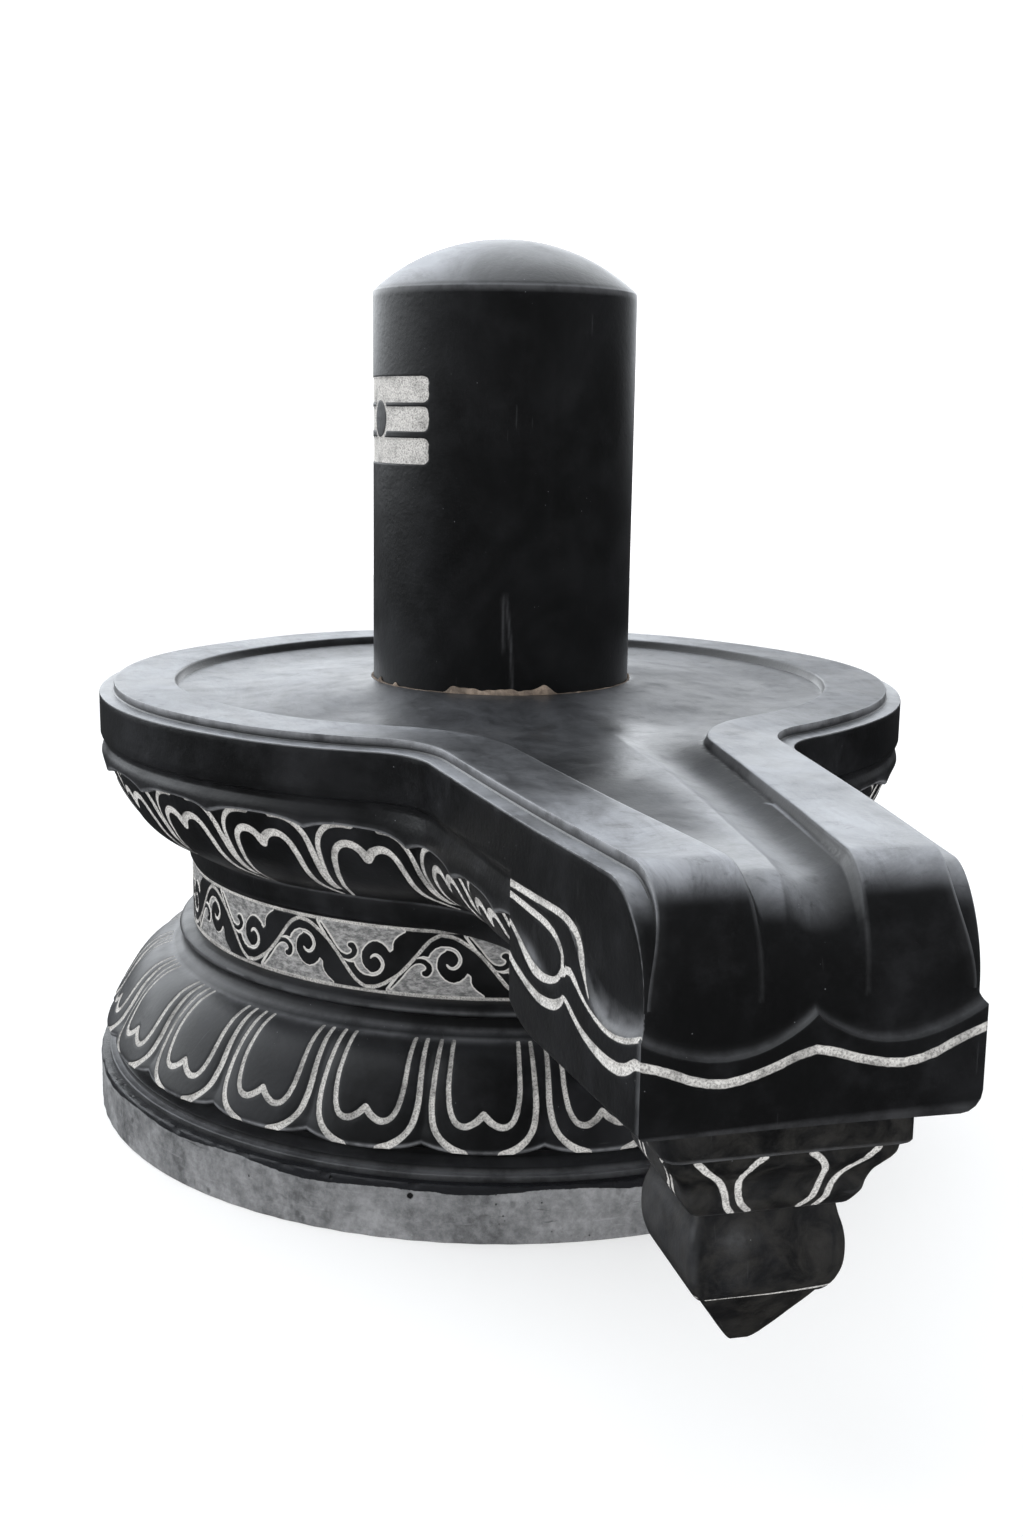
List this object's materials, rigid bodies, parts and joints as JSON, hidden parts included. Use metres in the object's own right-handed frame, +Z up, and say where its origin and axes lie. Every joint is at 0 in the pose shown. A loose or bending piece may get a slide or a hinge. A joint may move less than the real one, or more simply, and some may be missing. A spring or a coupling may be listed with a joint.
{
  "type": "shiva lingam",
  "caption": "Domed stone shaft set in a round spouted basin on a carved lotus pedestal, free-standing on its base disc.",
  "frame": {"origin": "on the floor, on the shaft's vertical axis", "axes": "+Z up, spout along -Y"},
  "size_m": [1.268, 1.894, 1.317],
  "materials": {
    "shaft_stone": "polished black stone",
    "tan_mortar": "rough mortar",
    "tray_stone": "polished black stone, worn",
    "pedestal_stone": "polished black stone over an unpolished grey base disc"
  },
  "bodies": {
    "root": {"lingam_shaft": "shaft_stone", "shaft_mortar": "tan_mortar", "yoni_tray": "tray_stone", "lotus_pedestal": "pedestal_stone"}
  },
  "joints": []
}
